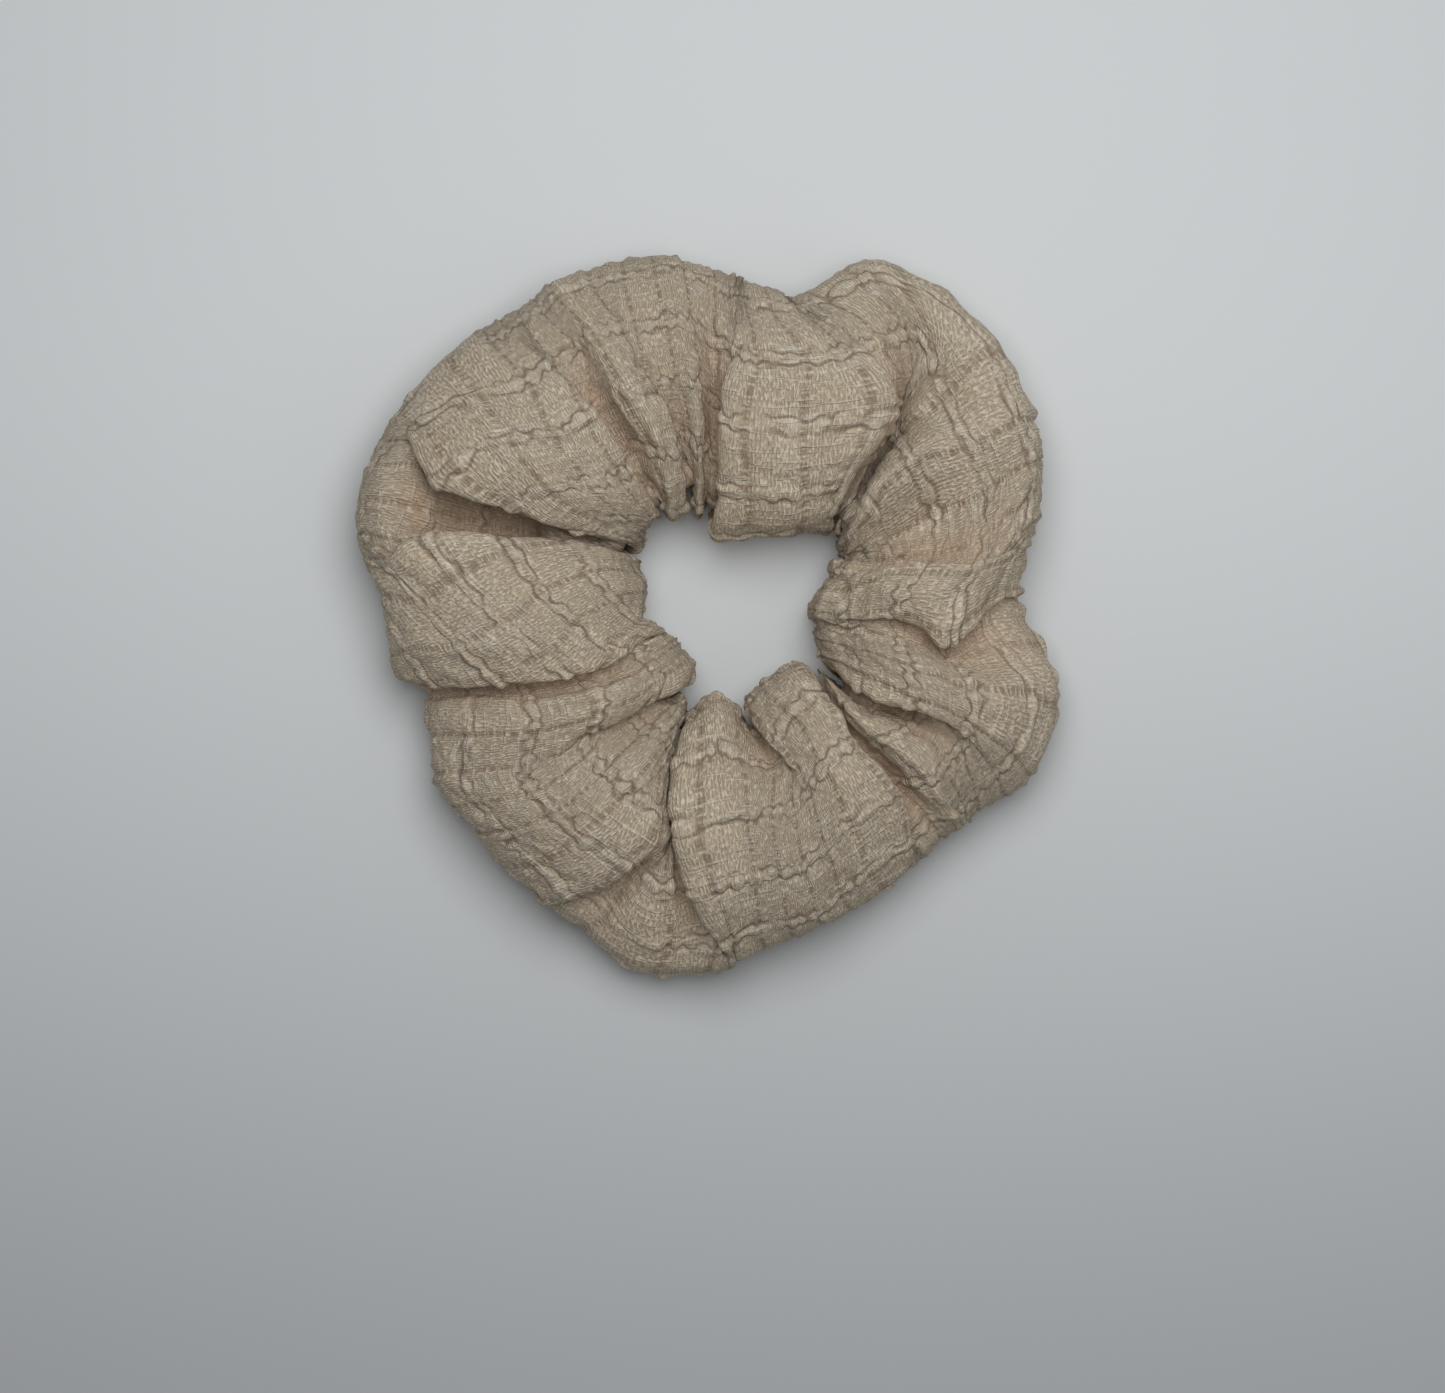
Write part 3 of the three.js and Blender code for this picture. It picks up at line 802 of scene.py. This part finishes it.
def round_hole(radius, turns, height):
    """Places this far from the middle of the hole, at these turns and heights."""
    east, north = radius * np.cos(turns), radius * np.sin(turns)
    return np.stack([east + HOLE[0], north + HOLE[1], np.broadcast_to(height, east.shape)], axis=-1)


def elastic_mesh():
    """A flat braided band, one turn and a lap round, with its ribs."""
    turns = np.linspace(-BAND_LAP / 2, 2 * math.pi + BAND_LAP / 2, BAND_STEPS) + BAND_LAP_AT
    share = smooth(np.linspace(0, 1, BAND_STEPS))
    radius = BAND_RADIUS + (share - 0.5) * (BAND_THICKNESS + BAND_LAP_GAP)
    height = np.linspace(-0.5, 0.5, 8 * BAND_RIBS + 1)
    rib_height = BAND_RIB_DEPTH * np.abs(np.sin(np.pi * BAND_RIBS * (height + 0.5)))
    bulge = BAND_THICKNESS / 2 * (1 - BAND_RIB_DEPTH + rib_height)
    out = radius[:, None] + np.r_[-bulge, bulge[::-1]]
    rise = np.r_[height, height[::-1]] * BAND_WIDTH + BAND_HEIGHT
    return swept("elastic_braid", [round_hole(out, turns[:, None], rise)])


def tubes(name, routes, radius, sides=6):
    """One mesh of threads, each a round tube along its route of (x, y, z) millimetres."""
    turn = 2 * math.pi * np.arange(sides)[:, None] / sides
    sweeps = []
    for route in routes:
        heading = unit(np.gradient(route, axis=0))
        level = unit(np.cross(heading, NEARLY_UP))
        upright = np.cross(level, heading)
        out = radius * (np.cos(turn) * level[:, None] + np.sin(turn) * upright[:, None])
        out[[0, -1]] *= THREAD_TAPER
        sweeps.append(route[:, None] + out)
    return swept(name, sweeps)


def lap_stitches():
    """A zigzag through the two lapped ends of the elastic, out on one face and back on the other."""
    turns = np.linspace(-BAND_LAP / 3, BAND_LAP / 3, ZIGZAG_POINTS) + BAND_LAP_AT
    stitch = np.arange(ZIGZAG_POINTS) / ZIGZAG_STITCH
    zigzag = np.abs(np.mod(stitch, 2) - 1) - 0.5
    face = ZIGZAG_FACE * np.sign(np.sin(np.pi * (stitch + 0.5)))
    radius = BAND_RADIUS + smoothed(np.r_[face, face[::-1]], 1.2)[:ZIGZAG_POINTS]
    route = round_hole(radius, turns, BAND_HEIGHT + zigzag * (BAND_WIDTH - ZIGZAG_MARGIN))
    return tubes("elastic_zigzag", [route], ZIGZAG_RADIUS)


def long_seam(cover):
    """The machine stitches that hold the strip's two long edges together, just inside the cloth."""
    pitch = int(round(STITCH / COLUMN_STEP))
    along = np.linspace(0.08, 0.92, 6)
    routes = []
    for first in range(0, len(cover.s) - pitch, pitch):
        a, b = cover.tube[first, 0], cover.tube[first + pitch, 0]
        route = a + (b - a) * along[:, None]
        route[:, 2] += STITCH_ABOVE + SEAM_GROOVE + np.sin(np.pi * along) * STITCH_BOW
        routes.append(route)
    return tubes("long_seam_stitches", routes, THREAD_RADIUS)


def closing_seam(cover):
    """Hand stitches that close the tube where the strip's ends meet, in the tuck of the top gather."""
    routes = []
    for row in range(ROWS // 5, ROWS - ROWS // 5, CLOSING_STITCH_ROWS):
        route = np.array([cover.tube[column, row] for column in range(-3, 4)])
        route[:, 2] = np.maximum(route[:, 2] - CLOSING_STITCH_UNDER, CLOSING_STITCH_LOWEST)
        routes.append(route)
    return tubes("closing_seam_stitches", routes, THREAD_RADIUS)


# ---------- materials

# colours are linear red, green, blue and alpha
CLOTH_DULL, CLOTH_BRIGHT = (0.71, 0.602, 0.452, 1), (0.775, 0.672, 0.517, 1)
BETWEEN_STITCHES = (0.37, 0.28, 0.19, 1)
BETWEEN_THREADS = (0.34, 0.25, 0.17, 1)
LADDER_DARK = (0.26, 0.185, 0.12, 1)
THREAD_PALE = (0.84, 0.76, 0.63, 1)
# painted light on the cords' raised middles
CORD_TOP_LIGHT = (0.80, 0.71, 0.57, 1)
# painted shade in the cords' creases, with their darker thread gaps
CREASE_SHADE_DARK = (0.26, 0.18, 0.12, 1)
# painted shade, darker and pinker, deep inside the folds
FOLD_SHADE_PINK = (0.60, 0.40, 0.265, 1)
SHEEN_TINT = (1.0, 0.95, 0.88, 1)
ELASTIC_GREY, ELASTIC_WHITE = (0.58, 0.57, 0.53, 1), (0.82, 0.81, 0.77, 1)
SEWING_DARK, SEWING_PALE = (0.40, 0.33, 0.24, 1), (0.60, 0.52, 0.40, 1)
# painted shade: the table's colour darkens from near the window to far from it, as the window light falls
# off
TABLE_SHADED_FAR, TABLE_LIT_NEAR = (0.505, 0.52, 0.535, 1), (0.765, 0.785, 0.795, 1)  # from the window
SHADE_FROM, SHADE_TO = -0.17, 0.05  # metres along the table, between those two


class Nodes:
    """Short ways to add and join shader nodes."""

    def __init__(self, name):
        self.material = bpy.data.materials.new(name)
        self.material.use_nodes = True
        self.tree = self.material.node_tree
        self.shader = self.tree.nodes["Principled BSDF"]

    def add(self, kind, settings=(), **inputs):
        node = self.tree.nodes.new(kind)
        for key, value in dict(settings).items():
            setattr(node, key, value)
        for key, value in inputs.items():
            self.put(node.inputs[key.replace("_", " ")], value)
        return node

    def put(self, socket, value):
        if isinstance(value, bpy.types.NodeSocket):
            self.tree.links.new(value, socket)
        else:
            socket.default_value = value

    def math(self, operation, *values):
        node = self.tree.nodes.new("ShaderNodeMath")
        node.operation = operation
        for socket, value in zip(node.inputs, values):
            self.put(socket, value)
        return node.outputs[0]

    def times(self, a, b):
        return self.math("MULTIPLY", a, b)

    def surface(self, **inputs):
        for key, value in inputs.items():
            self.put(self.shader.inputs[key.replace("_", " ")], value)

    def uv(self, layer):
        return self.add("ShaderNodeUVMap", {"uv_map": layer}).outputs["UV"]

    def split(self, vector):
        node = self.add("ShaderNodeSeparateXYZ", Vector=vector)
        return node.outputs["X"], node.outputs["Y"]

    def scaled(self, vector, along, across, shift=0.0):
        moved = dict(Scale=(along, across, 1), Location=(shift, shift, 0))
        return self.add("ShaderNodeMapping", Vector=vector, **moved).outputs["Vector"]

    def noise(self, vector, detail=2.0):
        kind = {"noise_dimensions": "2D"}
        node = self.add("ShaderNodeTexNoise", kind, Vector=vector, Scale=1.0, Detail=detail)
        return node.outputs["Fac"]

    def wave(self, vector, direction, **inputs):
        kind = {"wave_type": "BANDS", "bands_direction": direction}
        return self.add("ShaderNodeTexWave", kind, Vector=vector, **inputs).outputs["Fac"]

    def position(self):
        return self.add("ShaderNodeTexCoord").outputs["Object"]

    def near_middle(self, value, low, high):
        """1 where value is within low of 0.5, 0 where it is further than high."""
        away = self.math("ABSOLUTE", self.math("SUBTRACT", value, 0.5))
        return self.between(away, low, high, 1.0, 0.0)

    def between(self, value, low, high, to_low=0.0, to_high=1.0):
        """value carried from low..high to to_low..to_high, easing in and out."""
        limits = dict(From_Min=low, From_Max=high, To_Min=to_low, To_Max=to_high)
        kind = {"interpolation_type": "SMOOTHSTEP"}
        return self.add("ShaderNodeMapRange", kind, Value=value, **limits).outputs["Result"]

    def mixed(self, share, a, b):
        node = self.tree.nodes.new("ShaderNodeMix")
        node.data_type = "RGBA"
        self.put(node.inputs[0], share)
        self.put(node.inputs[6], a)
        self.put(node.inputs[7], b)
        return node.outputs[2]

    def bump(self, height, strength=1.0):
        """Bump for a height in metres."""
        node = self.add("ShaderNodeBump", Height=height, Strength=strength, Distance=1.0)
        self.surface(Normal=node.outputs["Normal"])


def cloth_weave(n, cloth):
    """Short upright stitches over a more even wave of them, from 0 between them to 1 on them."""
    # one unit of the cloth map is 10 mm, so a scale of 20 is a stitch every 0.5 mm
    stitches = n.between(n.noise(n.scaled(cloth, 31, 10), detail=1.0), 0.42, 0.58)
    places = n.scaled(cloth, 5.4, 3.0)
    regular = n.wave(places, "X", Scale=1.0, Distortion=3.0, Detail=1.5, Detail_Scale=2.0)
    return n.math("ADD", n.times(stitches, 0.65), n.times(regular, 0.35))


def cloth_color(n, cloth, weave, threads, gaps, crease):
    """The ecru of the cloth, with its stitches and threads, painted light on the cords' raised middles,
    and painted shade in the cords' creases and deep in the folds.
    """
    near_cord, _ = n.split(n.uv("crease"))
    hidden, to_ladder = n.split(n.uv("ladder"))
    rungs = n.between(n.noise(n.scaled(cloth, 1.5, 16, 9.3)), 0.42, 0.52)
    ladder = n.times(n.near_middle(to_ladder, 0.02, 0.09), rungs)
    # painted light: the cords' raised middles, away from their creases, lighter in patches
    cord_light = n.between(n.noise(n.scaled(cloth, 3.2, 7, 5.5)), 0.35, 0.6)
    ridge = n.times(n.math("SUBTRACT", near_cord, crease), cord_light)
    patches = n.noise(n.scaled(cloth, 0.9, 0.9, 7.7), detail=3.0)
    color = n.mixed(n.between(patches, 0.35, 0.65), CLOTH_DULL, CLOTH_BRIGHT)
    tints = (
        (n.math("SUBTRACT", 1.0, weave), 0.84, BETWEEN_STITCHES),
        (gaps, 0.16, BETWEEN_THREADS),
        (ladder, 0.68, LADDER_DARK),
        (threads, 0.34, THREAD_PALE),
        # painted light on the cords' raised middles
        (ridge, 0.5, CORD_TOP_LIGHT),
        # painted shade in the cords' creases, with their darker thread gaps
        (crease, 0.8, CREASE_SHADE_DARK),
        # painted shade, darker and pinker, deep inside the folds
        (hidden, 0.4, FOLD_SHADE_PINK),
    )
    for share, strength, tint in tints:
        color = n.mixed(n.times(share, strength), color, tint)
    return color


def cloth_material():
    """Ecru gauze: short upright stitches, paler threads along the strip, puckers, painted light on the
    cords' raised middles, and painted shade in the creases and, darker and pinker, in the hollows.
    """
    n = Nodes("seersucker_gauze")
    cloth = n.uv("cloth")
    weave = cloth_weave(n, cloth)
    lengthwise = n.noise(n.scaled(cloth, 1.2, 14, 3.1))
    threads = n.between(lengthwise, 0.56, 0.66)
    gaps = n.between(lengthwise, 0.36, 0.45, 1.0, 0.0)
    near_cord, to_crease = n.split(n.uv("crease"))
    # the cords' crease lines: painted shade in the colour, and pressed in by the bump
    crease = n.times(n.near_middle(to_crease, 0.0, 0.055), near_cord)
    color = cloth_color(n, cloth, weave, threads, gaps, crease)
    n.surface(Base_Color=color, Roughness=n.between(weave, 0, 1, 0.95, 0.84), Specular_IOR_Level=0.25)
    n.surface(Sheen_Weight=0.12, Sheen_Roughness=0.5, Sheen_Tint=SHEEN_TINT)
    relief = n.math("ADD", n.times(weave, 0.2 * MM), n.times(threads, 0.16 * MM))
    n.bump(n.math("SUBTRACT", relief, n.times(crease, 0.2 * MM)))
    return n.material


def braid_material():
    """Off-white braided elastic: slanting yarns across the ribs, slightly glossy."""
    n = Nodes("braided_elastic")
    yarns = n.wave(n.position(), "DIAGONAL", Scale=260.0, Distortion=1.5, Detail=1.0)
    n.surface(Base_Color=n.mixed(yarns, ELASTIC_GREY, ELASTIC_WHITE), Roughness=0.6)
    n.bump(n.times(yarns, 0.12 * MM), 0.8)
    return n.material


def thread_material():
    """Twisted sewing thread, a little darker than the cloth."""
    n = Nodes("sewing_thread")
    twist = n.wave(n.position(), "DIAGONAL", Scale=900.0, Distortion=0.6)
    n.surface(Base_Color=n.mixed(twist, SEWING_DARK, SEWING_PALE), Roughness=0.7)
    n.bump(n.times(twist, 0.05 * MM), 0.7)
    return n.material


def table_material():
    """A matt white table, with painted shade: its colour darkens away from the window."""
    n = Nodes("table_white")
    _, toward_window = n.split(n.position())
    # painted shade, darker away from the window
    shade = n.between(toward_window, SHADE_FROM, SHADE_TO)
    n.surface(Base_Color=n.mixed(shade, TABLE_SHADED_FAR, TABLE_LIT_NEAR), Roughness=0.6)
    return n.material


# ---------- the pieces, in place of the CAD nodes


def stretch_with_ring(obj, material, *replaced):
    """Gives the piece its material and bakes its transform, in place of these CAD nodes, which are hidden.
    """
    obj.data.materials.append(material)
    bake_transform(obj)
    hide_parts(*replaced)


shape = Cover()
strip, t_all = shape.sewn()
cover = grid_mesh("cover_cloth", strip, shape.layers(t_all))
elastic = elastic_mesh()
lap_thread = lap_stitches()
seam_thread = long_seam(shape)
closing_thread = closing_seam(shape)

sewing_thread = thread_material()
puffs = [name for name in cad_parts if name.startswith("cover_puff")]
stretch_with_ring(cover, cloth_material(), *puffs)
stretch_with_ring(elastic, braid_material(), "elastic_band")
stretch_with_ring(lap_thread, sewing_thread, "elastic_lap_stitches")
stretch_with_ring(seam_thread, sewing_thread, "long_seam_thread_left", "long_seam_thread_right")
stretch_with_ring(closing_thread, sewing_thread, "closing_seam_thread")


# ---------- table, light, camera

# in metres
TABLE_HALF = 1.5
LIGHTS_AIM = Vector((0, 0, 0.01))
CAMERA_AT = (0.0019, -0.0141, 0.9)
MIDDLE_HEIGHT = 0.014  # of the scrunchie
VIEW_WIDTH = 0.2391  # of the picture, at that height
SENSOR = 36  # millimetres


def table():
    corners = [(x * TABLE_HALF, y * TABLE_HALF, 0) for x, y in ((-1, -1), (1, -1), (1, 1), (-1, 1))]
    obj = smooth_mesh("table", corners, [(0, 1, 2, 3)])
    obj.data.materials.append(table_material())


def area_light(name, place, size, power, color):
    data = bpy.data.lights.new(name, "AREA")
    data.shape = "DISK"
    data.size = size
    data.energy = power
    data.color = color
    obj = link(name, data)
    obj.location = place
    obj.rotation_mode = "QUATERNION"
    obj.rotation_quaternion = (LIGHTS_AIM - Vector(place)).to_track_quat("-Z", "Y")
    obj.visible_camera = False


def room_light(color, strength):
    world = bpy.data.worlds.new("room_light")
    world.use_nodes = True
    background = world.node_tree.nodes["Background"]
    background.inputs["Color"].default_value = color
    background.inputs["Strength"].default_value = strength
    bpy.context.scene.world = world


def camera():
    """Straight above, like the photograph's."""
    data = bpy.data.cameras.new("camera")
    data.sensor_width = SENSOR
    data.lens = SENSOR * (CAMERA_AT[2] - MIDDLE_HEIGHT) / VIEW_WIDTH
    data.clip_start, data.clip_end = 0.01, 10
    obj = link("camera", data)
    obj.location = CAMERA_AT
    bpy.context.scene.camera = obj


table()
area_light("window", place=(0.03, 0.11, 0.42), size=0.34, power=1.11, color=(0.98, 0.99, 1.0))
area_light("room", place=(0.42, -0.12, 0.5), size=0.4, power=0.14, color=(1.0, 0.99, 0.97))
room_light(color=(0.97, 0.99, 1.0, 1), strength=0.2)
bpy.context.scene.view_settings.view_transform = "Standard"
camera()
